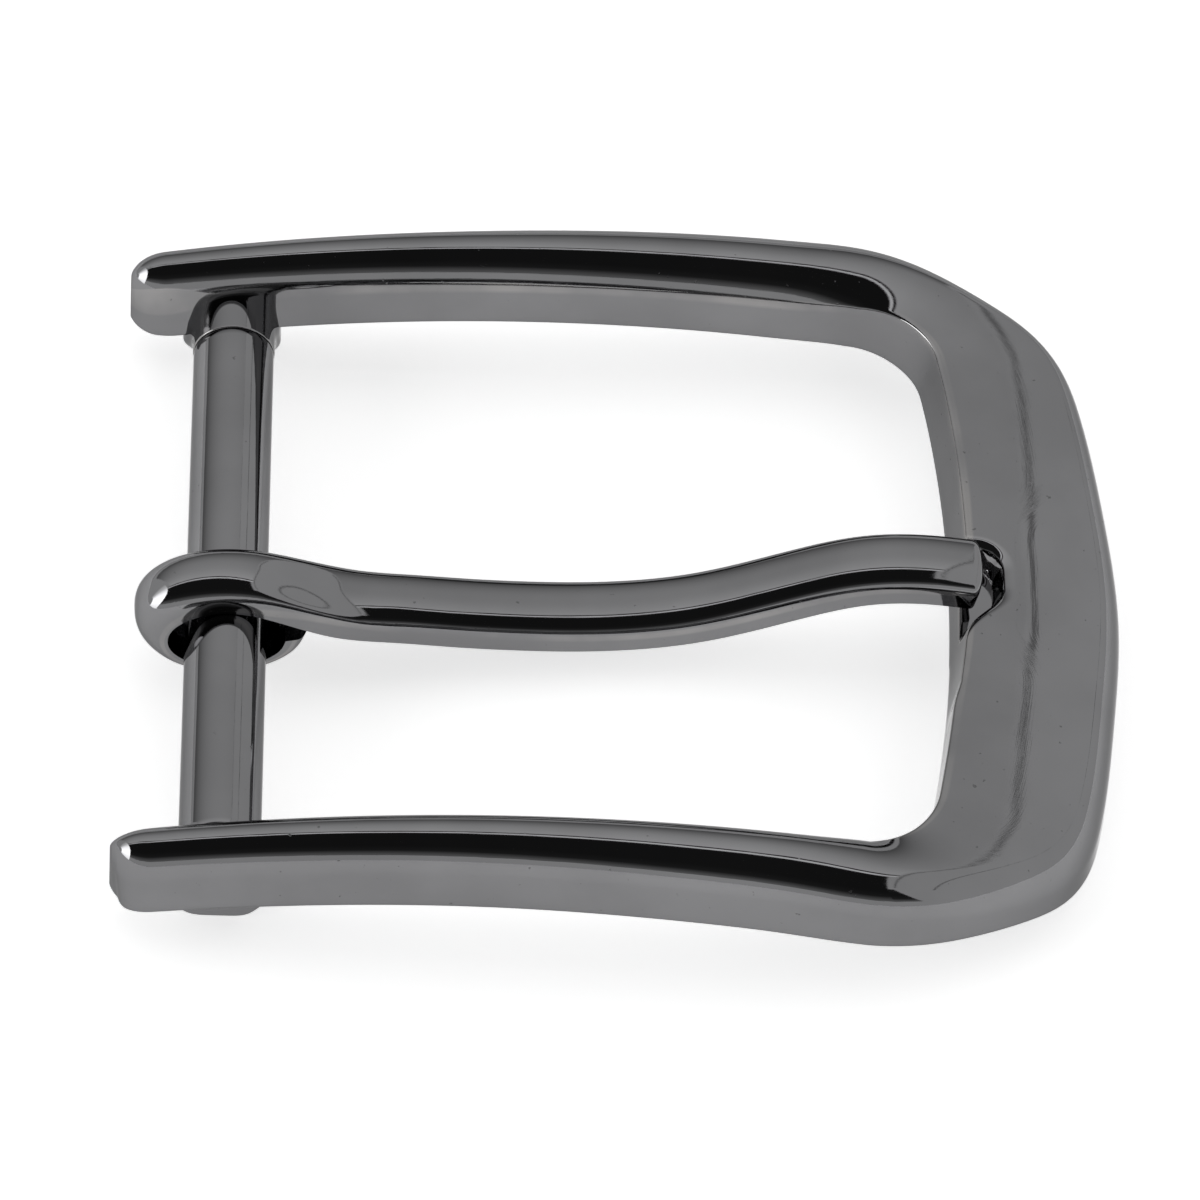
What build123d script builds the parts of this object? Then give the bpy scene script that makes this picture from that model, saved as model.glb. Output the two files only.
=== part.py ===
from build123d import *
import math
import os

# Belt buckle for a 35 mm strap: a cast frame, a round cross bar and a prong.
# Sizes are in millimetres. X runs from the cross bar to the end bar, Y across the strap, Z up.
# The origin is the middle of the space the buckle takes up, on the surface that it rests on.

# Arch: the whole frame is bent round one axis that runs along Y
arch_radius = 105.0          # to the front face
arch_top = 8.3               # height of the front face at the top of the arch
arch_x = -3.8                # where the arch is highest
frame_thick = 3.95           # front face to back face
arch_axis_z = arch_top - arch_radius

# Outline of the frame, measured on the plane outline_z
outline_z = 4.0
left_x = -26.1               # free ends of the arms
right_x = 26.56              # middle of the end bar's outer edge
left_half_width = 21.3
shoulder = (14.8, 22.9)      # where the arm's outer edge turns towards the end bar
corner = (23.5, 17.9)        # where the shoulder meets the end bar's outer edge
shoulder_radius = 7.0
corner_radius = 4.0
arm_nose_radius = 1.55
nose_length = 1.0            # edges this near the free end belong to the nose

# Window of the frame
window_half_width = 18.15
window_right_x = 17.7
window_corner_x = 17.0       # the window's right edge is bowed by the difference
window_corner_radius = 4.5

outer_rounding = 1.5         # front edge, outside
inner_rounding = 1.3         # front edge, window side

# Cross bar and the bosses that hold it
bar_x = -20.6
bar_z = 2.95
bar_radius = 2.15
boss_face_y = 16.0           # the seam between boss and bar
boss_end_y = 19.6
boss_neck_radius = 2.25
boss_half_width = 2.6
boss_corner_radius = 1.8
boss_flare_radius = 6.0      # the neck widens in this curve towards the arm
seam_gap = 0.03
spigot_radius = 1.5
spigot_length = 3.0
socket_clearance = 0.03
socket_spare = 0.2           # the socket is this much deeper than the spigot is long

# Notch in the end bar for the prong's tip
notch_half_width = 2.2
notch_end_x = 20.15
notch_mouth_x = 14.0         # inside the window, so that the notch is open towards it
notch_floor_z = 4.4

# Prong
prong_width = 3.6
prong_thick = 2.0
prong_skew = 3.2             # degrees: the prong lies a little across the buckle
tip_x = 18.8
eye_centre = (-20.9, 3.5)
eye_radii = (4.6, 3.45)
hole_centre = (-20.7, 2.95)
hole_radii = (3.1, 2.2)
curl_slit = 0.12             # between the end of the curl and the shank
slit_length = 2.0
slit_middle = (hole_centre[0] + hole_radii[0] + 0.5, hole_centre[1] + 0.6)
slit_tilt = -12              # degrees
shank_line = [               # middle line of the shank, seen from the side
    (-19.0, 5.3),
    (-16.8, 4.45),
    (-11.5, 3.42),
    (-6.3, 2.71),
    (-1.0, 2.43),
    (4.3, 3.08),
    (9.5, 4.91),
    (13.7, 6.01),
    (tip_x, 5.5),
]

# Cutting tools reach past the buckle on every side
reach = 30.0
cut_low = -3.0
cut_high = 11.0

close = 0.02                 # how near a point is to a line that it counts as lying on it


def leaning(face):
    """Solid whose walls follow the arch: they all point at the arch's axis."""
    span = outline_z - arch_axis_z
    flat = Pos(-arch_x, 0, 0) * face
    sections = []
    for level in (cut_low, cut_high):
        stretch = (level - arch_axis_z) / span
        sections.append(Pos(arch_x, 0, level) * scale(flat, by=(stretch, 1, 1)))
    return loft(sections, ruled=True)


def outer_outline():
    """Straight free ends and arms, sloping shoulders and a bowed end bar."""
    with BuildSketch() as sketch:
        with BuildLine():
            arm = Line((left_x, 0), (left_x, left_half_width))
            side = Line(arm @ 1, shoulder)
            slope = Line(side @ 1, corner)
            bow = ThreePointArc(slope @ 1, (right_x, 0), (corner[0], -corner[1]))
            low_slope = Line(bow @ 1, (shoulder[0], -shoulder[1]))
            low_side = Line(low_slope @ 1, (left_x, -left_half_width))
            Line(low_side @ 1, arm @ 0)
        make_face()
        shoulders = [v for v in sketch.vertices() if abs(v.X - shoulder[0]) < close]
        fillet(shoulders, shoulder_radius)
        corners = [v for v in sketch.vertices() if abs(v.X - corner[0]) < close]
        fillet(corners, corner_radius)
        noses = [v for v in sketch.vertices() if abs(v.X - left_x) < close and v.Y != 0]
        fillet(noses, arm_nose_radius)
    return sketch.face()


def window_outline():
    with BuildSketch() as sketch:
        with BuildLine():
            left = Line((-reach * 2, -window_half_width), (-reach * 2, window_half_width))
            top = Line(left @ 1, (window_corner_x, window_half_width))
            bow = ThreePointArc(top @ 1, (window_right_x, 0), (window_corner_x, -window_half_width))
            Line(bow @ 1, left @ 0)
        make_face()
        corners = [v for v in sketch.vertices() if v.X > 0]
        fillet(corners, window_corner_radius)
    return sketch.face()


def arch_band():
    """Slab between the front face and the back face, before the outline is cut."""
    with BuildSketch(Plane.XZ) as sketch:
        with Locations((arch_x, arch_axis_z)):
            Circle(arch_radius)
            Circle(arch_radius - frame_thick, mode=Mode.SUBTRACT)
        with Locations((arch_x, 0)):
            Rectangle(4 * reach, 2 * reach, mode=Mode.INTERSECT)
    return extrude(sketch.sketch, amount=reach, both=True)


def front_edges(body, outside):
    """Edges of the front face, on the outline or round the window."""
    chosen = []
    for edge in body.edges():
        points = [edge @ t for t in (0.1, 0.5, 0.9)]
        radii = [math.hypot(p.X - arch_x, p.Z - arch_axis_z) for p in points]
        if max(abs(r - arch_radius) for r in radii) > close:
            continue
        middle = points[1]
        beside_window = abs(middle.Y) < window_half_width + close
        left_of_end_bar = middle.X < window_right_x + nose_length
        on_free_end = middle.X < left_x + nose_length
        in_window = beside_window and left_of_end_bar and not on_free_end
        if outside != in_window:
            chosen.append(edge)
    return chosen


def boss(side):
    """Neck that the bar meets, and the foot under the arm; side is +1 or -1."""
    with BuildSketch(Plane.XY) as neck:
        with BuildLine():
            axis = Line((0, boss_face_y), (0, boss_end_y))
            end = Line(axis @ 1, (boss_half_width, boss_end_y))
            wall = Line(end @ 1, (boss_half_width, window_half_width))
            neck_rim = (boss_neck_radius, boss_face_y)
            flare = RadiusArc(wall @ 1, neck_rim, boss_flare_radius)
            Line(flare @ 1, axis @ 0)
        make_face()
    neck_solid = revolve(neck.sketch, Axis.Y)
    with BuildSketch(Plane.XZ) as foot:
        with Locations((0, (boss_half_width - bar_z) / 2)):
            RectangleRounded(2 * boss_half_width, boss_half_width + bar_z, boss_corner_radius)
    foot_solid = Pos(0, boss_end_y, 0) * extrude(foot.sketch, amount=boss_end_y - window_half_width)
    both = Pos(bar_x, 0, bar_z) * (neck_solid + foot_solid)
    return both if side > 0 else mirror(both, Plane.XZ)


def socket(side):
    depth = spigot_length + socket_spare
    hole = Cylinder(spigot_radius + socket_clearance, depth, rotation=(90, 0, 0))
    return Pos(bar_x, side * (boss_face_y + depth / 2), bar_z) * hole


def notch():
    centre_x = notch_end_x - notch_half_width
    height = arch_top - notch_floor_z
    round_end = Pos(centre_x, 0, 0) * Cylinder(notch_half_width, height)
    length = centre_x - notch_mouth_x
    straight = Pos(notch_mouth_x + length / 2, 0, 0) * Box(length, 2 * notch_half_width, height)
    return Pos(0, 0, notch_floor_z + height / 2) * (round_end + straight)


def buckle_frame():
    ring = leaning(outer_outline()) - leaning(window_outline())
    body = (ring & arch_band()).solids()[0]
    body = body.fillet(outer_rounding, front_edges(body, outside=True))
    body = body.fillet(inner_rounding, front_edges(body, outside=False))
    for side in (1, -1):
        body = body + boss(side)
    for side in (1, -1):
        body = body - socket(side)
    return body - notch()


def cross_bar():
    shoulder_y = boss_face_y - seam_gap
    barrel = Cylinder(bar_radius, 2 * shoulder_y, rotation=(90, 0, 0))
    spigots = Cylinder(spigot_radius, 2 * (boss_face_y + spigot_length), rotation=(90, 0, 0))
    return Pos(bar_x, 0, bar_z) * (barrel + spigots)


def prong():
    half = prong_thick / 2
    with BuildSketch(Plane.XZ) as side_view:
        with BuildLine():
            top = Spline([(x, z + half) for x, z in shank_line])
            low = Spline([(x, z - half) for x, z in shank_line])
            Line(top @ 0, low @ 0)
            Line(top @ 1, low @ 1)
        make_face()
        with Locations(eye_centre):
            Ellipse(*eye_radii)
        with Locations(hole_centre):
            Ellipse(*hole_radii, mode=Mode.SUBTRACT)
        # the slit where the end of the curl meets the underside of the shank
        with Locations(slit_middle):
            Rectangle(slit_length, curl_slit, rotation=slit_tilt, mode=Mode.SUBTRACT)
    body = extrude(side_view.sketch, amount=prong_width / 2, both=True)
    turn = Pos(tip_x, 0, 0) * Rot(0, 0, prong_skew) * Pos(-tip_x, 0, 0)
    return turn * body


os.makedirs("parts", exist_ok=True)
nodes = {
    "buckle_frame": buckle_frame(),
    "cross_bar": cross_bar(),
    "prong": prong(),
}
for name, shape in nodes.items():
    export_step(shape, f"parts/{name}.step")
    box = shape.bounding_box()
    print(name, "low", box.min, "high", box.max)
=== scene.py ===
import math

import bpy
import numpy as np
from mathutils import Matrix, Vector


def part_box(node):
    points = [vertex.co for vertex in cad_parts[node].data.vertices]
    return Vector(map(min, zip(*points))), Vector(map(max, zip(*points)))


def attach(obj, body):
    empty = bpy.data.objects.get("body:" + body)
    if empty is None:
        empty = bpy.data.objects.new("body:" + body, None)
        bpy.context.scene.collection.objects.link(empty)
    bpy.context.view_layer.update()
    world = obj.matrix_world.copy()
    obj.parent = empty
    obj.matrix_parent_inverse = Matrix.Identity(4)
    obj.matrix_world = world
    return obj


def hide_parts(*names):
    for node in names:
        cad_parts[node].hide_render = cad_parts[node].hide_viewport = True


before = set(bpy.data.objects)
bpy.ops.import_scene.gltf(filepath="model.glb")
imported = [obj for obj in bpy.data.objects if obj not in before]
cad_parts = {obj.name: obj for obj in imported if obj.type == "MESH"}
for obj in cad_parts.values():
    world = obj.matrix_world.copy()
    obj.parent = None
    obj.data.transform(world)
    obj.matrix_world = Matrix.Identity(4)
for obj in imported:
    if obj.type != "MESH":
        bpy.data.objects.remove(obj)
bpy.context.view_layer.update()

# A belt buckle in polished black nickel: a bowed frame, a round cross bar and a curled prong.
# X runs from the cross bar to the end bar, Y across the strap, Z up. Shapes are worked out in
# millimetres and turned into metres when a mesh is made.

mm = 0.001
frameHigh = np.array(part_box("buckle_frame")[1]) / mm
barBox = np.array(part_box("cross_bar")) / mm
bar = {"x": barBox[:, 0].mean(), "z": barBox[:, 2].mean(), "radius": np.ptp(barBox[:, 2]) / 2}
sharpAngle = 40.0                 # degrees between faces from which an edge stays sharp


def splineThrough(points, count):
    # natural cubic spline through the points, count samples evenly spaced along it
    points = np.array(points, dtype=float)
    along = np.concatenate([[0], np.cumsum(np.linalg.norm(np.diff(points, axis=0), axis=1))])
    step = np.diff(along)
    size = len(points)
    matrix = np.eye(size)
    inner = np.arange(1, size - 1)
    matrix[inner, inner - 1] = step[:-1]
    matrix[inner, inner] = 2 * (step[:-1] + step[1:])
    matrix[inner, inner + 1] = step[1:]
    right = np.zeros_like(points)
    right[1:-1] = 6 * np.diff(np.diff(points, axis=0) / step[:, None], axis=0)
    curl = np.linalg.solve(matrix, right)
    at = np.linspace(0, along[-1], count)
    k = np.clip(np.searchsorted(along, at) - 1, 0, size - 2)
    gap = step[k][:, None]
    after = (at - along[k])[:, None]
    before = gap - after
    return ((curl[k] * before ** 3 + curl[k + 1] * after ** 3) / (6 * gap)
            + (points[k] / gap - curl[k] * gap / 6) * before
            + (points[k + 1] / gap - curl[k + 1] * gap / 6) * after)


def easeBetween(value, low, high):
    # 0 below low, 1 above high, smooth between
    t = np.clip((np.asarray(value, dtype=float) - low) / (high - low), 0, 1)
    return t * t * (3 - 2 * t)


def roundedEnd(distance, radius):
    # height of a quarter circle: 0 at the end, 1 from radius onwards
    t = np.clip(1 - np.asarray(distance) / radius, 0, 1)
    return np.sqrt(1 - t * t)


def superellipse(u, power):
    # height at u of the curve |u|^power + v^power = 1
    return (1 - np.abs(u) ** power) ** (1 / power)


def lengthAlong(points):
    # distance from the first point, measured along the line of points
    return np.concatenate([[0], np.cumsum(np.linalg.norm(np.diff(points, axis=0), axis=1))])


def closedTube(grid):
    # vertices and faces of a tube with a fan on each end; grid is rows x around x 3
    rows, around = grid.shape[:2]
    points = np.concatenate([grid.reshape(-1, 3), grid[[0, -1]].mean(axis=1)])
    i, j = np.meshgrid(np.arange(rows - 1), np.arange(around), indexing="ij")
    following = (j + 1) % around
    quads = np.stack([i * around + j, i * around + following,
                      (i + 1) * around + following, (i + 1) * around + j], axis=-1)
    j = np.arange(around)
    following = (j + 1) % around
    firstCentre = np.full(around, rows * around)
    lastRow = (rows - 1) * around
    startFan = np.stack([firstCentre, following, j], axis=-1)
    endFan = np.stack([firstCentre + 1, lastRow + j, lastRow + following], axis=-1)
    return points, quads.reshape(-1, 4).tolist() + startFan.tolist() + endFan.tolist()


def meshObject(name, tubes):
    # one object from closed tubes. The edge mark is 1 on edges that are painted lighter, partly as
    # rubbed wear and partly as a painted highlight;
    # along and across place the polishing strokes, in millimetres along the piece and as turns round
    # its section
    points, faces, marks = [], [], {"edgeWearAndHighlight": [], "along": [], "across": []}
    for grid, tubeEdgeWearAndHighlight, tubeAlong in tubes:
        rows, around = grid.shape[:2]
        tubePoints, tubeFaces = closedTube(grid)
        start = sum(len(p) for p in points)
        faces += [[v + start for v in face] for face in tubeFaces]
        points.append(tubePoints)
        turns = np.linspace(0, 1, around)[None, :]
        for mark, value in {"edgeWearAndHighlight": tubeEdgeWearAndHighlight, "along": tubeAlong, "across": turns}.items():
            spread = np.broadcast_to(value, (rows, around))
            marks[mark].append(np.concatenate([spread.ravel(), spread[[0, -1]].mean(axis=1)]))
    mesh = bpy.data.meshes.new(name)
    mesh.from_pydata((np.concatenate(points) * mm).tolist(), [], faces)
    for mark, values in marks.items():
        attribute = mesh.attributes.new(mark, "FLOAT", "POINT")
        attribute.data.foreach_set("value", np.concatenate(values))
    mesh.shade_smooth()
    mesh.set_sharp_from_angle(angle=math.radians(sharpAngle))
    mesh.update()
    thing = bpy.data.objects.new(name, mesh)
    bpy.context.scene.collection.objects.link(thing)
    return thing


casting = {
    "archRadius": 105.0,          # to the front face, about an axis along Y
    "archX": -3.8,
    "outlineZ": 4.0,              # height of the plane that the outline is drawn on
    "outerPoints": [(-25.8, 21.1), (-17.0, 21.35), (-6.0, 21.7), (4.0, 22.15), (9.6, 22.4),
                    (12.2, 22.48), (14.2, 22.25), (16.3, 21.65), (18.4, 20.7), (20.5, 19.5),
                    (22.7, 17.8), (23.9, 16.1), (24.85, 13.2), (25.95, 6.8)],
    "endX": 26.55,
    "windowHalfWidth": 18.1,
    "windowX": 16.5,              # inner edge of the end bar at its ends
    "windowTurn": 10.5,           # degrees that the end bar's inner edge turns towards its ends
    "windowCorner": 4.1,
    "armThick": 4.7,
    "barThick": 3.95,
    "armOuterWall": 2.75,         # height of the straight walls under the arm's dome
    "armInnerWall": 2.97,
    "domeCut": 65.0,              # degrees of the dome's ellipse between its top and the inner edge
    "barRounding": 1.35,          # outer front edge of the end bar, seen from the front
    "barRoundingTall": 2.3,       # and from the side
    "barDrop": 0.25,              # how much lower the end bar's front is at the inner edge
    "innerEdge": 0.2,
    "endEdge": 0.7,               # how much more the inner edge is rounded at the free ends
    "endEdgeFade": (1.5, 5.0),    # and how far from them that ends
    "backEdge": 0.35,
    "upperNose": (1.8, 1.0, 1.0), # length, rounding beside the window and rounding outside
    "lowerNose": (2.3, 0.8, 1.5),
    "noseDrop": 1.0,
    "noseLift": 0.85,
    "noseUpright": 3.0,           # length over which the free ends stand upright
}

# how the arm's dome turns into the end bar's flat front
flattening = {
    "alongX": (3.0, 15.0),        # it starts and ends here
    "turn": (5.0, 105.0),         # degrees of turn, from the arm's direction, that it takes
    "lead": 40.0,                 # it is ahead of the corner by this many degrees,
    "leadX": (6.0, 12.8),         # which are added between these
}

# how the casting differs from one that is the same on both sides of the X axis
uneven = {
    "endShift": 0.3,              # the end bar's outside lies this much towards -Y
    "endShiftX": (6.0, 20.0),
    "outsideFrom": 0.2,           # part of the width at which the outside starts
    "lowerCorner": 0.32,          # the lower outer corner is this much fuller, about this place
    "lowerCornerAt": (22.0, -13.0),
    "lowerCornerSpread": 60.0,
    "lowerInside": 0.42,          # the lower inner edge lies this much further in
    "lowerUpright": 0.5,          # where its wall also leans this much less
    "lowerInsideX": (12.0, 16.0),
    "lowerInsideY": (1.0, 9.0),
    "windowShift": 0.4,           # the window's corners lie this much towards -Y
    "windowShiftAt": (15.4, 16.9),
    "windowShiftSpread": 8.0,
}

notch = {
    "endX": 19.95,                # how far into the end bar it reaches, on the outline plane
    "halfWidth": 2.0,
    "corner": 1.5,
    "deep": 1.6,
    "lipWide": 0.55,              # soft rounding outside the rim
    "lipDrop": 0.22,
    "wall": 0.35,                 # how far the side walls slope inwards
    "squeeze": 0.85,              # part of the thickness over which the drop dies away
    "flareLength": 2.35,          # the near side sweeps out towards the window in a quarter ellipse
    "flareWide": 3.6,
    "flareFade": 9.0,
    "rimSamples": 0.6,            # samples crowd this near the rim,
    "rimSamplesY": (3.0, 7.0),    # fully up to the first distance and not past the second
}


def bend(planX, planY, depth, upright):
    # places a point of the flat outline on the arch, depth below the front face:
    # x = archX + (R - depth (1 - upright)) sin(lean), z = axisZ + (R - depth) cos(lean)
    radius = casting["archRadius"]
    axisZ = frameHigh[2] - radius
    lean = np.arctan2(planX - casting["archX"], casting["outlineZ"] - axisZ)
    x = casting["archX"] + (radius - depth * (1 - upright)) * np.sin(lean)
    z = axisZ + (radius - depth) * np.cos(lean)
    return np.stack([x, np.broadcast_to(planY, x.shape), z], axis=-1)


def windowBow(y):
    # how far the end bar's inner edge bulges out at y: a parabola that ends at windowTurn
    last = math.radians(casting["windowTurn"])
    half = casting["windowHalfWidth"] - casting["windowCorner"] * (1 - math.sin(last))
    return half * math.tan(last) / 2 * (1 - (y / half) ** 2)


def outerOutline():
    # the outer outline from the upper free end to the middle of the end bar
    half = np.array(casting["outerPoints"] + [(casting["endX"], 0.0)])
    pastMiddle = half[-3:-1][::-1] * (1, -1)
    outline = splineThrough(np.concatenate([half, pastMiddle]), 3000)
    return outline[outline[:, 1] >= -0.02]


def castingStations():
    # inner and outer outline points facing each other, from the upper free end to the middle of
    # the end bar: square to the arm, fanned round the window's corner, then square to the end bar
    outline = outerOutline()
    corner = casting["windowCorner"]
    last = math.radians(casting["windowTurn"])
    centre = (casting["windowX"] - corner * math.cos(last), casting["windowHalfWidth"] - corner)

    noseTurn = np.linspace(0, math.pi / 2, 24)
    nose = casting["outerPoints"][0][0] + casting["lowerNose"][0] * (1 - np.cos(noseTurn))
    armX = np.concatenate([nose, np.linspace(nose[-1], centre[0], 150)[1:]])
    armInner = np.stack([armX, np.full_like(armX, casting["windowHalfWidth"])], axis=-1)
    armOuter = np.stack([armX, np.interp(armX, outline[:, 0], outline[:, 1])], axis=-1)

    turn = np.linspace(90, casting["windowTurn"], 90)[1:]
    rays = np.stack([np.cos(np.radians(turn)), np.sin(np.radians(turn))], axis=-1)
    fromCentre = outline - centre
    bearing = np.degrees(np.arctan2(fromCentre[:, 1], fromCentre[:, 0]))
    distance = np.linalg.norm(fromCentre, axis=1)
    reach = np.interp(turn, bearing[::-1], distance[::-1])
    cornerInner = rays * corner + centre
    cornerOuter = rays * reach[:, None] + centre

    # rows crowd where the notch's side wall is
    topY = cornerInner[-1, 1]
    stretches = ((topY, 5.0, 50), (5.0, 3.0, 16), (3.0, 1.4, 41), (1.4, 0.0, 13))
    barY = np.concatenate([np.linspace(high, low, count)[1:] for high, low, count in stretches])
    barInner = np.stack([cornerInner[-1, 0] + windowBow(barY), barY], axis=-1)
    outerY = barY * cornerOuter[-1, 1] / topY
    barOuter = np.stack([np.interp(-outerY, -outline[:, 1], outline[:, 0]), outerY], axis=-1)

    inner = np.concatenate([armInner, cornerInner, barInner])
    outer = np.concatenate([armOuter, cornerOuter, barOuter])
    bearings = np.concatenate([np.full(len(armX), 90.0), turn, np.zeros(len(barY))])
    return inner, outer, bearings


def armFront(width, thick, small):
    # dome of the arm: two quarter ellipses that meet at the top, the inner one cut short by the
    # inner wall. Returns the inner half and the outer half as (q, h) pairs
    cut = math.radians(casting["domeCut"])
    middle = width / 2
    innerWide = middle / math.sin(cut)
    innerTall = (thick - casting["armInnerWall"]) / (1 - math.cos(cut))
    outerTall = thick - casting["armOuterWall"]
    slope = np.sqrt((innerWide * math.cos(cut)) ** 2 + (innerTall * math.sin(cut)) ** 2)
    v = np.linspace(1, 0, 46)[None, :]
    innerTurn = (cut - small / slope) * v
    w = np.radians(np.linspace(0, 90, 26))[None, 1:]
    innerHalf = (middle - innerWide * np.sin(innerTurn), thick - innerTall * (1 - np.cos(innerTurn)))
    outerHalf = (middle + (width - middle) * np.sin(w), thick - outerTall * (1 - np.cos(w)))
    return innerHalf, outerHalf


def barFront(width, thick, small, notchQ, nearNotch):
    # front of the end bar: nearly flat, then a rounding down to the outer wall. Near the notch
    # the samples crowd round its rim
    rounding = casting["barRounding"]
    flatEnd = width - rounding
    before = notchQ - notch["rimSamples"]
    after = notchQ + notch["rimSamples"]
    spread = np.concatenate([np.linspace(0, 1, 11)[:-1], np.linspace(1, 2, 26)[:-1],
                             np.linspace(2, 3, 11)])
    crowded = (small + (before - small) * np.clip(spread, 0, 1)
               + (after - before) * np.clip(spread - 1, 0, 1)
               + (flatEnd - after) * np.clip(spread - 2, 0, 1))
    v = np.linspace(1, 0, 46)[None, :]
    even = small + (flatEnd - small) * (1 - v)
    q = (1 - nearNotch) * even + nearNotch * crowded
    h = thick - casting["barDrop"] * (1 - (q - small) / (flatEnd - small)) ** 2
    w = np.radians(np.linspace(0, 90, 26))[None, 1:]
    edgeH = thick - casting["barRoundingTall"] * (1 - np.cos(w))
    return (q, h), (flatEnd + rounding * np.sin(w), edgeH)


def castingSection(width, thick, flat, notchQ, nearNotch, freeEnd):
    # closed section for each station: q from the inner wall to the outer wall, h up from the back
    width, thick, flat = width[:, None], thick[:, None], flat[:, None]
    small = casting["innerEdge"] + casting["endEdge"] * freeEnd[:, None]
    armHalves = armFront(width, thick, small)
    barHalves = barFront(width, thick, small, notchQ, nearNotch)
    mixed = [[(1 - flat) * arm + flat * end for arm, end in zip(armHalf, barHalf)]
             for armHalf, barHalf in zip(armHalves, barHalves)]
    frontQ = np.concatenate([mixed[0][0], mixed[1][0]], axis=1)
    frontH = np.concatenate([mixed[0][1], mixed[1][1]], axis=1)

    cornerH = (1 - flat) * casting["armInnerWall"] + flat * (thick - casting["barDrop"])
    u = np.linspace(0, 1, 8)[None, :-1]
    edgeQ = u ** 2 * frontQ[:, :1]
    edgeH = (1 - u) ** 2 * (cornerH - small) + 2 * u * (1 - u) * cornerH + u ** 2 * frontH[:, :1]

    back = casting["backEdge"]
    a = np.radians(np.linspace(0, 90, 7))[None, :]
    wall = np.linspace(0, 1, 10)[None, 1:-1]
    outerTop = frontH[:, -1:]
    parts = [
        (back * (1 - np.sin(a)) + 0 * width, back * (1 - np.cos(a)) + 0 * width),
        (0 * width * wall, back + (cornerH - small - back) * wall),
        (edgeQ, edgeH),
        (frontQ, frontH),
        (width + 0 * wall, outerTop + (back - outerTop) * wall),
        (width - back * (1 - np.cos(a)), back * (1 - np.sin(a)) + 0 * width),
        (width - back + (2 * back - width) * wall, 0 * width * wall),
    ]
    q = np.concatenate([part[0] for part in parts], axis=1)
    h = np.concatenate([part[1] for part in parts], axis=1)

    # the inner front edge and the first samples of the front beside it are painted lighter: partly
    # rubbed wear, partly a painted highlight
    edgeWearAndHighlight = np.zeros(q.shape[1])
    first = parts[0][0].shape[1] + parts[1][0].shape[1]
    edgeWearAndHighlight[first:first + edgeQ.shape[1] + 2] = 1
    return q, h, edgeWearAndHighlight


def notchDrop(inner, q, h, thick):
    # distance d from a rounded rectangle that is open towards the window, then
    # drop = lipDrop (1 - d / lipWide)^2 outside it, and down to deep inside it
    corner = notch["corner"]
    x = inner[:, :1] + q - (notch["endX"] - corner)
    y = np.abs(inner[:, 1:]) - (notch["halfWidth"] - corner)
    outsideBox = np.hypot(np.maximum(x, 0), np.maximum(y, 0))
    distance = outsideBox + np.minimum(np.maximum(x, y), 0) - corner
    lip = notch["lipDrop"] * np.clip(1 - np.maximum(distance, 0) / notch["lipWide"], 0, 1) ** 2
    wall = (notch["deep"] - notch["lipDrop"]) * easeBetween(-distance, 0, notch["wall"])
    # under the front the section is squeezed, so that the inner wall stays below the rim
    return (lip + wall) * np.clip(h / (notch["squeeze"] * thick), 0, 1)


def notchFlare(planX, startY):
    # how far the near side is swept towards -Y, less and less away from the rim
    back = np.clip((notch["endX"] - planX) / notch["flareLength"], 0, 1)
    sweep = notch["flareWide"] * (1 - np.sqrt(1 - back ** 2))
    nearRim = -notch["halfWidth"]
    fade = easeBetween(startY, nearRim - notch["flareFade"], nearRim)
    return sweep * fade * easeBetween(-startY, 0, -nearRim)


def shapeFreeEnds(q, h, inner, width, thick):
    # rounds the arms' free ends in the outline, over the front and under the back
    fromEnd = inner[:, 0] - inner[:, 0].min()
    nose = np.where(inner[:, 1:] > 0, casting["upperNose"], casting["lowerNose"])
    point = (1 - roundedEnd(fromEnd, nose[:, 0]))[:, None]
    q = nose[:, 1:2] * point + q * (1 - (nose[:, 1:2] + nose[:, 2:]) * point / width)
    fall = casting["noseDrop"] * (1 - roundedEnd(fromEnd, casting["upperNose"][0]))[:, None]
    lift = casting["noseLift"] * (1 - roundedEnd(fromEnd, casting["noseLift"]))[:, None]
    return q, lift + h * (1 - (fall + lift) / thick)


def unevenOutline(planX, planY, inner, outside):
    # the shifts of the dictionary uneven
    planY = planY - uneven["endShift"] * outside * easeBetween(planX, *uneven["endShiftX"])
    cornerX, cornerY = uneven["lowerCornerAt"]
    away = (inner[:, 1:] - cornerY) ** 2 + (planX - cornerX) ** 2
    fuller = uneven["lowerCorner"] * outside * np.exp(-away / uneven["lowerCornerSpread"])
    lowerPart = (easeBetween(-inner[:, 1:], *uneven["lowerInsideY"])
                 * easeBetween(inner[:, :1], *uneven["lowerInsideX"]))
    planX = planX + fuller - uneven["lowerInside"] * lowerPart * (1 - outside)
    windowX, windowY = uneven["windowShiftAt"]
    away = (np.abs(inner[:, 1:]) - windowY) ** 2 + (inner[:, :1] - windowX) ** 2
    atWindow = (1 - outside) * np.exp(-away / uneven["windowShiftSpread"])
    planY = planY - fuller - uneven["windowShift"] * atWindow
    return planX, planY, lowerPart


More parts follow.
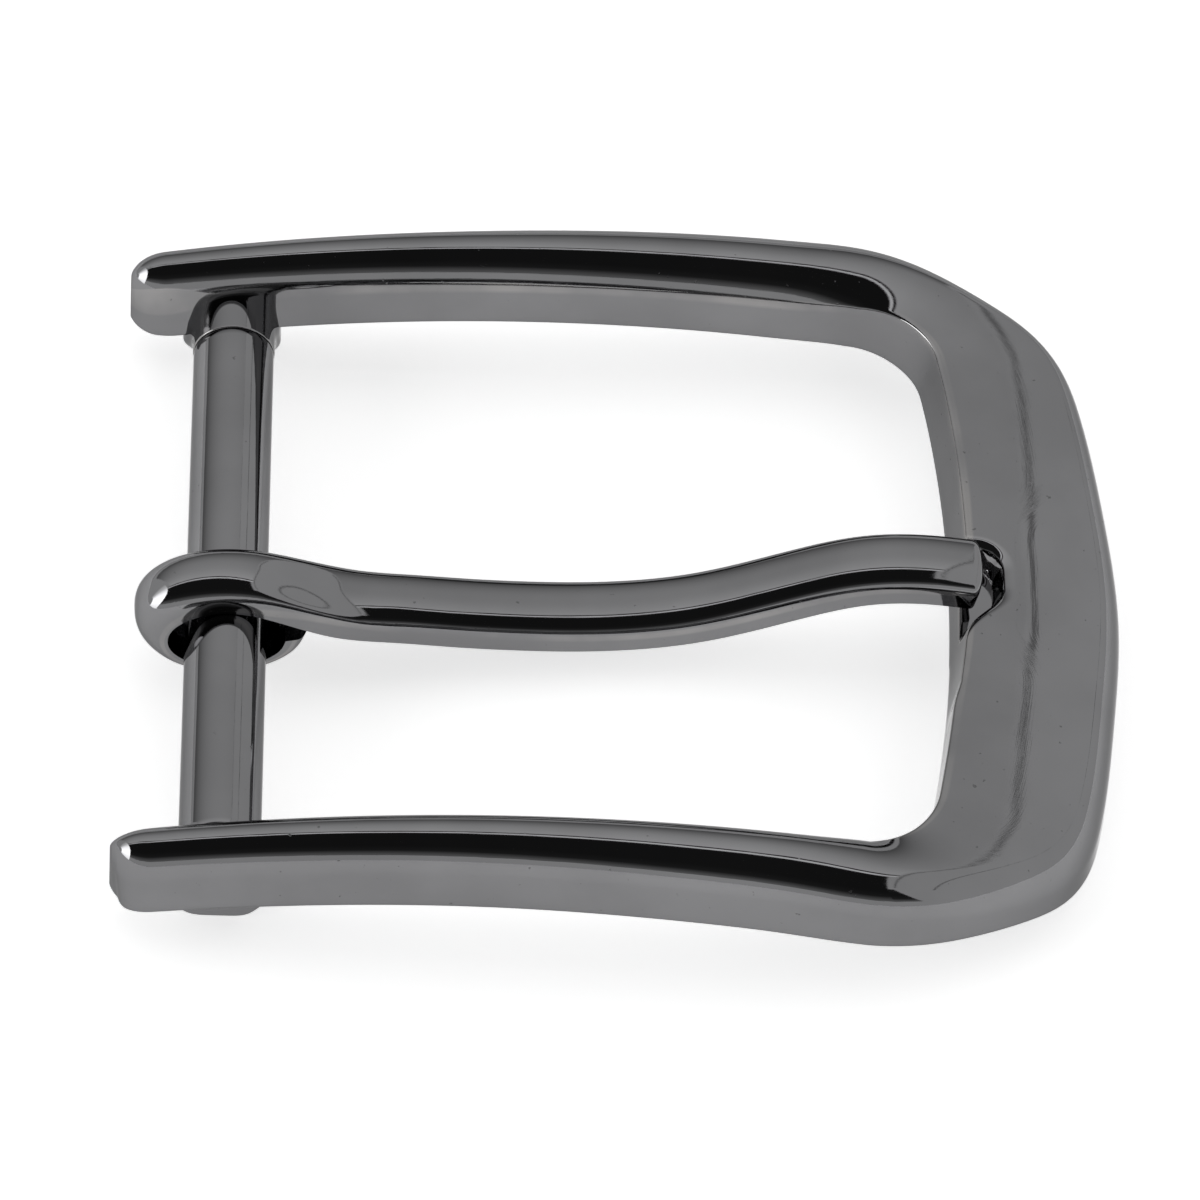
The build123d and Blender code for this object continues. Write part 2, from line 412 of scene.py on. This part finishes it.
def castingGrid():
    inner, outer, bearings = castingStations()
    inner = np.concatenate([inner, inner[-2::-1] * (1, -1)])
    outer = np.concatenate([outer, outer[-2::-1] * (1, -1)])
    bearings = np.concatenate([bearings, bearings[-2::-1]])
    width = np.linalg.norm(outer - inner, axis=1)
    onBar = (bearings == 0)[:, None]

    turned = 90 - bearings + flattening["lead"] * easeBetween(inner[:, 0], *flattening["leadX"])
    flat = easeBetween(inner[:, 0], *flattening["alongX"]) * easeBetween(turned, *flattening["turn"])
    thick = casting["armThick"] + (casting["barThick"] - casting["armThick"]) * flat
    near, far = notch["rimSamplesY"]
    nearNotch = easeBetween(-np.abs(inner[:, 1:]), -far, -near) * onBar
    notchQ = (notch["endX"] - inner[:, 0])[:, None]
    fromEnd = inner[:, 0] - inner[:, 0].min()
    freeEnd = 1 - easeBetween(fromEnd, *casting["endEdgeFade"])
    q, h, edgeWearAndHighlight = castingSection(width, thick, flat, notchQ, nearNotch, freeEnd)

    width, thick = width[:, None], thick[:, None]
    h = h - notchDrop(inner, q, h, thick) * onBar
    q, h = shapeFreeEnds(q, h, inner, width, thick)
    direction = (outer - inner) / width
    planX = inner[:, :1] + direction[:, :1] * q
    planY = inner[:, 1:] + direction[:, 1:] * q
    outside = easeBetween(q / width, uneven["outsideFrom"], 1.0)
    planX, planY, lowerPart = unevenOutline(planX, planY, inner, outside)
    flare = notchFlare(planX, inner[:, 1:]) * onBar
    planX = planX + windowBow(inner[:, 1:] - flare) - windowBow(inner[:, 1:])
    planY = planY - flare

    atEnd = 1 - roundedEnd(fromEnd, casting["noseUpright"])[:, None]
    upright = np.maximum(q / width, np.maximum(atEnd, uneven["lowerUpright"] * lowerPart))
    along = lengthAlong((inner + outer) / 2)
    return bend(planX, planY, thick - h, upright), edgeWearAndHighlight[None, :], along[:, None]


boss = {
    "faceY": {1: 16.0, -1: 17.7}, # seam with the cross bar, on the upper and the lower side
    "endY": 20.0,
    "neck": 2.19,
    "flareOut": 0.6,              # how much wider the neck's sides are where they meet the arm
    "flareIn": 0.35,
    "flareAt": -0.25,             # cosine of the turn from straight up where they are widest
    "flareSpread": 0.35,
    "growLength": 2.5,            # the neck becomes the foot over this length
    "growPower": 1.8,
    "rowsY": (18.4, 18.6),        # rows lie close together before the first and not past the second
    "footSquare": 0.4,            # 1 is round, less is squarer
    "bevel": 0.06,
    "bevelWearAndHighlight": (0.05, 0.15),    # the seam's edge is painted lighter up to these distances, partly as wear and partly as a painted highlight
    "rearRounding": 0.4,
}


def bossRows(face):
    # places along Y: the bevel, the neck, the foot and the rounding behind it
    bevel, rear, end = boss["bevel"], boss["rearRounding"], boss["endY"]
    closeEnd, wideStart = boss["rowsY"]
    bevelTurn = np.linspace(0, math.pi / 2, 5)
    rearTurn = np.linspace(0.1, math.pi / 2, 8)
    return np.concatenate([face + bevel * (1 - np.cos(bevelTurn)),
                           np.linspace(face + bevel + 0.04, closeEnd, 30),
                           np.linspace(wideStart, end - rear, 8),
                           end - rear * (1 - np.sin(rearTurn))])


def bossGrid(side):
    # section carried along Y: a circle at the seam whose sides and underside widen into a foot.
    # x = a sin t, z = up cos t above the bar's axis and -down |cos t|^e below it
    face, neck = boss["faceY"][side], boss["neck"]
    y = bossRows(face)[:, None]
    trim = (boss["bevel"] * (1 - roundedEnd(y - face, boss["bevel"]))
            + boss["rearRounding"] * (1 - roundedEnd(boss["endY"] - y, boss["rearRounding"])))
    grow = easeBetween(y, face + 0.1, face + boss["growLength"]) ** boss["growPower"]
    t = np.linspace(0, 2 * math.pi, 96, endpoint=False)[None, :]
    c, s = np.cos(t), np.sin(t)
    sides = np.exp(-((c - boss["flareAt"]) / boss["flareSpread"]) ** 2)
    wide = neck - trim + np.where(s > 0, boss["flareIn"], boss["flareOut"]) * grow * sides
    power = 1 + (boss["footSquare"] - 1) * grow
    down = neck + (bar["z"] - neck) * grow - trim
    x = np.where(c < 0, wide * np.sign(s) * np.abs(s) ** power, wide * s)
    z = np.where(c < 0, -down * np.abs(c) ** power, (neck - trim) * c)
    grid = np.stack([bar["x"] + x, side * (y + 0 * t), bar["z"] + z], axis=-1)
    if side > 0:
        grid = grid[:, ::-1]
    # the seam's edge is painted lighter: partly rubbed wear, partly a painted highlight
    edgeWearAndHighlight = 1 - easeBetween(y - face, *boss["bevelWearAndHighlight"])
    return grid, edgeWearAndHighlight, y


heelBar = {
    "barrel": 2.15,
    "spigot": 1.5,
    "endY": 19.0,
    "spigotBevel": 0.15,
    "seamGap": 0.03,
    "shoulderBevel": 0.1,
    "bevelMiddle": 0.3,           # the bevel's middle row is cut by this part of it
    "evenRow": 0.37,              # a row this far from the shoulder keeps the barrel's shading even
    "middleRowY": 8.0,
}


def crossBarGrid():
    # surface of revolution about the bar's axis: spigots, shoulders with a small bevel, barrel
    barrel, spigot = heelBar["barrel"], heelBar["spigot"]
    tipBevel, bevel = heelBar["spigotBevel"], heelBar["shoulderBevel"]
    middleCut = heelBar["bevelMiddle"] * bevel
    ends = {}
    for side in (-1, 1):
        seam = boss["faceY"][side]
        shoulder = seam - heelBar["seamGap"]
        end = np.array([(spigot - tipBevel, heelBar["endY"]), (spigot, heelBar["endY"] - tipBevel),
                        (spigot, seam), (spigot, shoulder), (barrel - bevel, shoulder),
                        (barrel - middleCut, shoulder - middleCut), (barrel, shoulder - bevel),
                        (barrel, shoulder - heelBar["evenRow"]), (barrel, heelBar["middleRowY"])])
        ends[side] = end * (1, side)
    profile = np.concatenate([ends[-1], ends[1][::-1]])
    turn = np.linspace(0, 2 * math.pi, 128, endpoint=False)
    radius = profile[:, :1] * bar["radius"] / barrel
    x = bar["x"] + radius * np.cos(turn)
    z = bar["z"] + radius * np.sin(turn)
    grid = np.stack([x, np.broadcast_to(profile[:, 1:], x.shape), z], axis=-1)
    return grid, np.zeros((1, 1)), profile[:, 1:]


tongue = {
    "tipX": 18.8,
    "shank": [(18.8, 5.55), (13.7, 6.16), (9.5, 5.1), (4.3, 3.25), (-1.0, 2.58),
              (-6.3, 2.83), (-11.5, 3.48), (-14.8, 4.0)],
    "thick": 2.0,
    "halfWidth": 1.85,
    "eye": (-20.9, 3.5, 4.6, 3.45),      # centre x, z and half sizes of its outside
    "eyeTurns": [78, 105, 135, 165, 195, 225, 255, 285, 315, 338, 352],
    "hole": (-20.7, 2.95, 3.1, 2.2),
    "holeTurns": [52, 90, 130, 165, 195, 225, 255, 285, 315, 338, 356],
    "crown": 0.46,                       # part of the thickness that is crowned
    "crownSquare": 2.9,                  # 2 is round, more is flatter with rounder shoulders
    "crownCut": 0.965,                   # the crown ends in an edge this far out
    "eyeCrown": 0.62,                    # and round the eye, where the section is a rounded bar
    "eyeSquare": 2.6,
    "eyeFromX": (18.0, 22.0),            # the eye's section takes over between these, towards -X,
    "eyeFromLength": (35.0, 40.0),       # and between these lengths from the tip,
    "eyeFullLength": (45.0, 48.0),       # and wholly from here
    "skew": 3.2,                         # degrees across the buckle, about its tip
    "tipY": 0.22,
    "tipRound": 0.45,
    "tipThin": 0.2,                      # part of the thickness that the tip loses
}


def ellipsePoint(ellipse, degrees):
    x, z, wide, tall = ellipse
    turn = np.radians(degrees)
    return np.stack([x + wide * np.cos(turn), z + tall * np.sin(turn)], axis=-1)


def prongLines():
    # the prong seen from the side: its outer and inner line, from the tip round the eye
    middle = splineThrough(tongue["shank"], 400)
    slope = np.gradient(middle, axis=0)
    normal = np.stack([slope[:, 1], -slope[:, 0]], axis=-1)
    normal /= np.linalg.norm(normal, axis=1)[:, None]
    half = tongue["thick"] / 2
    knots = np.linspace(0, len(middle) - 1, 12).astype(int)
    upper = (middle + half * normal)[knots]
    lower = (middle - half * normal)[knots]
    eye = ellipsePoint(tongue["eye"], tongue["eyeTurns"])
    hole = ellipsePoint(tongue["hole"], tongue["holeTurns"])
    outer = splineThrough(np.concatenate([upper, eye]), 620)
    inner = splineThrough(np.concatenate([lower, hole]), 620)
    return outer, inner


def prongSection(outer, along):
    # half section for each row: u across from -1 to 1, v from the inner line 0 to the outer line 1
    crownCount, sideCount, baseCount = 41, 6, 14
    bunching = 0.9                # samples lie closer together towards the crown's edges
    turn = np.linspace(-math.pi / 2, math.pi / 2, crownCount)
    shankU = np.sin(turn * bunching) / math.sin(math.pi / 2 * bunching)
    rise = superellipse(tongue["crownCut"] * shankU, tongue["crownSquare"])
    shankV = 1 - tongue["crown"] * (1 - rise) / (1 - rise[0])
    power = 2 / tongue["eyeSquare"]
    eyeU = np.sign(turn) * np.abs(np.sin(turn)) ** power
    eyeV = 1 - tongue["eyeCrown"] * (1 - np.cos(turn) ** power)
    onEye = (easeBetween(-outer[:, :1], *tongue["eyeFromX"])
             * easeBetween(along[:, None], *tongue["eyeFromLength"]))
    onEye = np.maximum(onEye, easeBetween(along[:, None], *tongue["eyeFullLength"]))
    crownU = shankU + (eyeU - shankU) * onEye
    crownV = shankV + (eyeV - shankV) * onEye

    side = np.linspace(0, 1, sideCount + 2)[1:-1]
    rows = np.ones((len(outer), 1))
    edge = rows * np.ones(sideCount)
    base = rows * np.linspace(1, -1, baseCount)
    u = np.concatenate([crownU, edge, base, -edge], axis=1)
    v = np.concatenate([crownV, crownV[:, -1:] * side[::-1], 0 * base, crownV[:, :1] * side], axis=1)
    # the crown's edges are painted lighter: partly rubbed wear, partly a painted highlight
    edgeWearAndHighlight = np.zeros(u.shape[1])
    edgeWearAndHighlight[[0, 1, crownCount - 2, crownCount - 1, crownCount, -1]] = 1
    return u, v, edgeWearAndHighlight


def prongGrid():
    # the section carried along the shank and round the eye, then turned a little askew
    outer, inner = prongLines()
    along = lengthAlong(outer)
    u, v, edgeWearAndHighlight = prongSection(outer, along)
    rounded = roundedEnd(np.linalg.norm(outer - outer[0], axis=1), tongue["tipRound"])[:, None]
    y = u * (tongue["halfWidth"] - tongue["tipRound"] * (1 - rounded))
    lift = 0.5 + (v - 0.5) * (1 - tongue["tipThin"] * (1 - rounded))
    across = outer - inner
    x = inner[:, :1] + across[:, :1] * lift
    z = inner[:, 1:] + across[:, 1:] * lift
    skew = math.radians(tongue["skew"])
    fromPivot = x - tongue["tipX"]
    grid = np.stack([tongue["tipX"] + fromPivot * math.cos(skew) - y * math.sin(skew),
                     tongue["tipY"] + fromPivot * math.sin(skew) + y * math.cos(skew), z], axis=-1)
    return grid[:, ::-1], edgeWearAndHighlight[None, ::-1], along[:, None]


castingPiece = meshObject("frame_casting", [castingGrid(), bossGrid(1), bossGrid(-1)])
barPiece = meshObject("heel_bar", [crossBarGrid()])
prongPiece = meshObject("prong_shank_and_eye", [prongGrid()])

for piece, body, node, slotName in (
    (castingPiece, "frame", "buckle_frame", "frame_plating"),
    (barPiece, "frame", "cross_bar", "bar_plating"),
    (prongPiece, "prong", "prong", "prong_plating"),
):
    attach(piece, body)
    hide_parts(node)
print("shapes: frame casting, heel bar and prong")

# base is the plating's colour and the other colour is painted on the edges, partly as rubbed wear
# and partly as a painted highlight; glancing is how much a grazing view still mirrors, gloss is the
# middle roughness, strokes how much it varies, waviness is in millimetres, and specks is the height
# of the noise above which there is a pit
castPolish = {"base": (0.2, 0.2, 0.205), "wornAndHighlight": (0.34, 0.33, 0.32), "glancing": (0.5, 0.5, 0.5),
              "gloss": 0.04, "strokes": 0.03, "waviness": 0.012, "specks": 0.72}
turnedPolish = {"base": (0.2, 0.2, 0.205), "wornAndHighlight": (0.3, 0.295, 0.29), "glancing": (0.5, 0.5, 0.5),
                "gloss": 0.05, "strokes": 0.04, "waviness": 0.01, "specks": 0.73}
formedPolish = {**castPolish, "specks": 0.73}

# what the three platings share: noise scales per metre, strokes per millimetre and per turn,
# and how strongly each mark shows
plating = {
    "cloudScale": 120.0,
    "cloudTone": 0.07,            # how much darker and lighter the clouds are
    "cloudRange": (0.3, 0.7),     # of the noise, from darkest to lightest
    "wearAndHighlightRange": (0.35, 0.7),     # of the same noise, from none to full of the edges' wear and painted highlight
    "waveScale": 260.0,
    "gritScale": 2600.0,
    "pitEdge": 0.05,
    "pitColour": (0.06, 0.06, 0.06),
    "pitTone": 0.5,
    "pitRoughness": 0.25,
    "pitDepth": 0.003,
    "strokeAlong": 0.35,
    "strokeAcross": 260.0,
    "strokeDepth": 0.0006,
    # how much of the lighter edge colour shows: partly wear, partly a painted highlight
    "wornAndHighlightTone": 0.6,
    "wornRoughness": 0.1,
}


def blackNickel(name, finish):
    # polished black nickel: cloudy plating tone, hair-fine polishing strokes, tiny pits and dust,
    # slightly wavy polish, and edges painted lighter (partly rubbed wear, partly a painted
    # highlight) and duller
    material = bpy.data.materials.new(name)
    material.use_nodes = True
    nodes, links = material.node_tree.nodes, material.node_tree.links
    shader = nodes["Principled BSDF"]
    shader.inputs["Metallic"].default_value = 1.0
    shader.inputs["Specular Tint"].default_value = (*finish["glancing"], 1)

    def node(kind, values=(), **settings):
        made = nodes.new(kind)
        for setting, value in settings.items():
            setattr(made, setting, value)
        for socket, value in values:
            if isinstance(value, bpy.types.NodeSocket):
                links.new(value, made.inputs[socket])
            else:
                made.inputs[socket].default_value = value
        return made

    def maths(operation, first, second):
        return node("ShaderNodeMath", [(0, first), (1, second)], operation=operation).outputs[0]

    def ramped(value, low, high):
        made = node("ShaderNodeMapRange", [(0, value), (1, low), (2, high)], clamp=True)
        made.interpolation_type = "SMOOTHSTEP"
        return made.outputs[0]

    def noise(vector, scale, detail):
        values = [("Vector", vector), ("Scale", scale), ("Detail", detail)]
        return node("ShaderNodeTexNoise", values).outputs["Fac"]

    def mark(attribute):
        return node("ShaderNodeAttribute", attribute_name=attribute).outputs["Fac"]

    def blended(amount, first, second):
        values = [(0, amount), (6, first), (7, second)]
        return node("ShaderNodeMix", values, data_type="RGBA").outputs[2]

    place = node("ShaderNodeTexCoord").outputs["Object"]
    along, across, edgeWearAndHighlight = mark("along"), mark("across"), mark("edgeWearAndHighlight")
    clouds = noise(place, plating["cloudScale"], 4.0)
    waves = noise(place, plating["waveScale"], 1.0)
    grit = noise(place, plating["gritScale"], 2.0)
    strokeValues = [(0, maths("MULTIPLY", along, plating["strokeAlong"])),
                    (1, maths("MULTIPLY", across, plating["strokeAcross"]))]
    strokes = noise(node("ShaderNodeCombineXYZ", strokeValues).outputs[0], 1.0, 3.0)
    pits = ramped(grit, finish["specks"], finish["specks"] + plating["pitEdge"])
    # edges painted lighter in patches: partly rubbed wear, partly a painted highlight
    wornAndHighlight = maths("MULTIPLY", edgeWearAndHighlight, ramped(clouds, *plating["wearAndHighlightRange"]))

    darker = (*[c * (1 - plating["cloudTone"]) for c in finish["base"]], 1)
    lighter = (*[c * (1 + plating["cloudTone"]) for c in finish["base"]], 1)
    tone = blended(ramped(clouds, *plating["cloudRange"]), darker, lighter)
    # the lighter edge colour goes in here: partly rubbed wear, partly a painted highlight
    tone = blended(maths("MULTIPLY", wornAndHighlight, plating["wornAndHighlightTone"]), tone, (*finish["wornAndHighlight"], 1))
    tone = blended(maths("MULTIPLY", pits, plating["pitTone"]), tone, (*plating["pitColour"], 1))
    links.new(tone, shader.inputs["Base Color"])

    rough = maths("MULTIPLY_ADD", strokes, finish["strokes"])
    rough.node.inputs[2].default_value = finish["gloss"] - finish["strokes"] / 2
    rough = maths("ADD", rough, maths("MULTIPLY", wornAndHighlight, plating["wornRoughness"]))
    rough = maths("ADD", rough, maths("MULTIPLY", pits, plating["pitRoughness"]))
    links.new(rough, shader.inputs["Roughness"])

    height = maths("MULTIPLY", waves, finish["waviness"])
    height = maths("ADD", height, maths("MULTIPLY", strokes, plating["strokeDepth"]))
    height = maths("SUBTRACT", height, maths("MULTIPLY", pits, plating["pitDepth"]))
    bump = node("ShaderNodeBump", [("Strength", 1.0), ("Distance", mm), ("Height", height)])
    links.new(bump.outputs["Normal"], shader.inputs["Normal"])
    return material


for piece, finishName, finish in (
    (castingPiece, "frame_plating", castPolish),
    (barPiece, "bar_plating", turnedPolish),
    (prongPiece, "prong_plating", formedPolish),
):
    piece.data.materials.append(blackNickel(finishName, finish))
print("finish: three platings")


def glowMaterial(name):
    # light given off by a panel, as strong as its attribute glow says
    material = bpy.data.materials.new(name)
    material.use_nodes = True
    tree = material.node_tree
    tree.nodes.clear()
    strength = tree.nodes.new("ShaderNodeAttribute")
    strength.attribute_name = "glow"
    emission = tree.nodes.new("ShaderNodeEmission")
    out = tree.nodes.new("ShaderNodeOutputMaterial")
    tree.links.new(strength.outputs["Fac"], emission.inputs["Strength"])
    tree.links.new(emission.outputs["Emission"], out.inputs["Surface"])
    return material


panelLight = glowMaterial("panel_light")
panelRows = 40


def arcPanel(name, degrees, sides, glow, radius):
    # part of a cylinder about the X axis. degrees run from straight up towards -Y. sides are
    # angles from the middle towards +X: near edge, then far edge, which slants if it has two.
    # glow runs from the first degree to the last
    turn = np.radians(np.linspace(degrees[0], degrees[1], panelRows))[:, None]
    far = np.linspace(sides[1], sides[-1], panelRows)
    near = np.full(panelRows, sides[0])
    sideX = np.tan(np.radians(np.stack([near, far], axis=-1))) * radius
    grid = np.stack([sideX,
                     np.broadcast_to(-radius * np.sin(turn), sideX.shape),
                     np.broadcast_to(radius * np.cos(turn), sideX.shape)], axis=-1)
    i = np.arange(panelRows - 1)
    faces = np.stack([2 * i, 2 * i + 1, 2 * i + 3, 2 * i + 2], axis=-1)
    mesh = bpy.data.meshes.new(name)
    mesh.from_pydata(grid.reshape(-1, 3).tolist(), [], faces.tolist())
    steps = np.interp(np.linspace(0, 1, panelRows), np.linspace(0, 1, len(glow)), glow)
    mesh.attributes.new("glow", "FLOAT", "POINT").data.foreach_set("value", np.repeat(steps, 2))
    mesh.materials.append(panelLight)
    panel = bpy.data.objects.new(name, mesh)
    bpy.context.scene.collection.objects.link(panel)
    panel.visible_camera = False


# degrees, sides, glow, radius in metres
studio = {
    "dark_card": ((-3, 74), (-56, 21), (0.025, 0.025, 0.025, 0.025, 0.04, 0.35), 1.0),
    "low_card": ((36, 74), (21, 23, 33), (0.05, 0.03, 0.03, 0.05, 0.35), 1.0),
    "thin_light": ((-7.5, -4), (-58, 22.5), (1.6, 1.6), 1.0),
    "thin_gap": ((-11, -8), (-58, 22.5), (0.1, 0.1), 1.0),
    "rear_light": ((-78, -12), (-52, 22.5), (0.22, 0.5, 0.75, 0.95, 1.1), 1.05),
    "side_seam_near": ((-60, 31), (23.2, 23.7), (0.3, 0.3), 0.95),
    "side_seam_far": ((-60, 40), (36.8, 37.5), (0.3, 0.3), 0.95),
    "left_lamp": ((-35, 110), (-80, -56), (1.0, 2.0, 4.5, 5.5, 5.5, 4.0, 3.0), 0.9),
}
for panelName, (degrees, sides, glow, radius) in studio.items():
    arcPanel(panelName, degrees, sides, glow, radius)

floorLook = {
    "size": 3.0,                  # metres from the middle to each edge
    "colour": (0.9, 0.9, 0.9),
    "roughness": 0.9,
    "glow": 0.6,
}
skyStrength = 0.85


def paleFloor():
    size = floorLook["size"]
    mesh = bpy.data.meshes.new("floor")
    corners = [(-size, -size, 0), (size, -size, 0), (size, size, 0), (-size, size, 0)]
    mesh.from_pydata(corners, [], [(0, 1, 2, 3)])
    material = bpy.data.materials.new("pale_floor")
    material.use_nodes = True
    shader = material.node_tree.nodes["Principled BSDF"]
    shader.inputs["Base Color"].default_value = (*floorLook["colour"], 1)
    shader.inputs["Roughness"].default_value = floorLook["roughness"]
    shader.inputs["Specular IOR Level"].default_value = 0.0
    shader.inputs["Emission Color"].default_value = (1, 1, 1, 1)
    shader.inputs["Emission Strength"].default_value = floorLook["glow"]
    mesh.materials.append(material)
    floor = bpy.data.objects.new("floor", mesh)
    bpy.context.scene.collection.objects.link(floor)


paleFloor()
world = bpy.data.worlds.new("studio")
world.use_nodes = True
sky = world.node_tree.nodes["Background"]
sky.inputs["Color"].default_value = (1, 1, 1, 1)
sky.inputs["Strength"].default_value = skyStrength
bpy.context.scene.world = world
bpy.context.scene.view_settings.view_transform = "Standard"
print("studio: floor, panels and sky")

# target and distance in millimetres, angles in degrees; shiftY is part of the picture's width
view = {
    "target": (-0.98, 0.0, 3.33),
    "distance": 555.0,
    "elevation": 50.5,
    "roll": 2.56,
    "lens": 316.35,
    "sensor": 36.0,
    "shiftY": -10 / 1200,
    "clipStart": 0.01,
}
tilt = math.radians(90 - view["elevation"])
roll = math.radians(view["roll"])
right = Vector((math.cos(roll), 0, math.sin(roll)))
up = Vector((-math.sin(tilt) * math.sin(roll), math.cos(tilt), math.sin(tilt) * math.cos(roll)))
back = right.cross(up)
cameraData = bpy.data.cameras.new("camera")
cameraData.lens = view["lens"]
cameraData.sensor_width = view["sensor"]
cameraData.shift_y = view["shiftY"]
cameraData.clip_start = view["clipStart"]
camera = bpy.data.objects.new("camera", cameraData)
place = Matrix((right, up, back)).transposed().to_4x4()
place.translation = (Vector(view["target"]) + back * view["distance"]) * mm
camera.matrix_world = place
bpy.context.scene.collection.objects.link(camera)
bpy.context.scene.camera = camera

print("scene: ready")
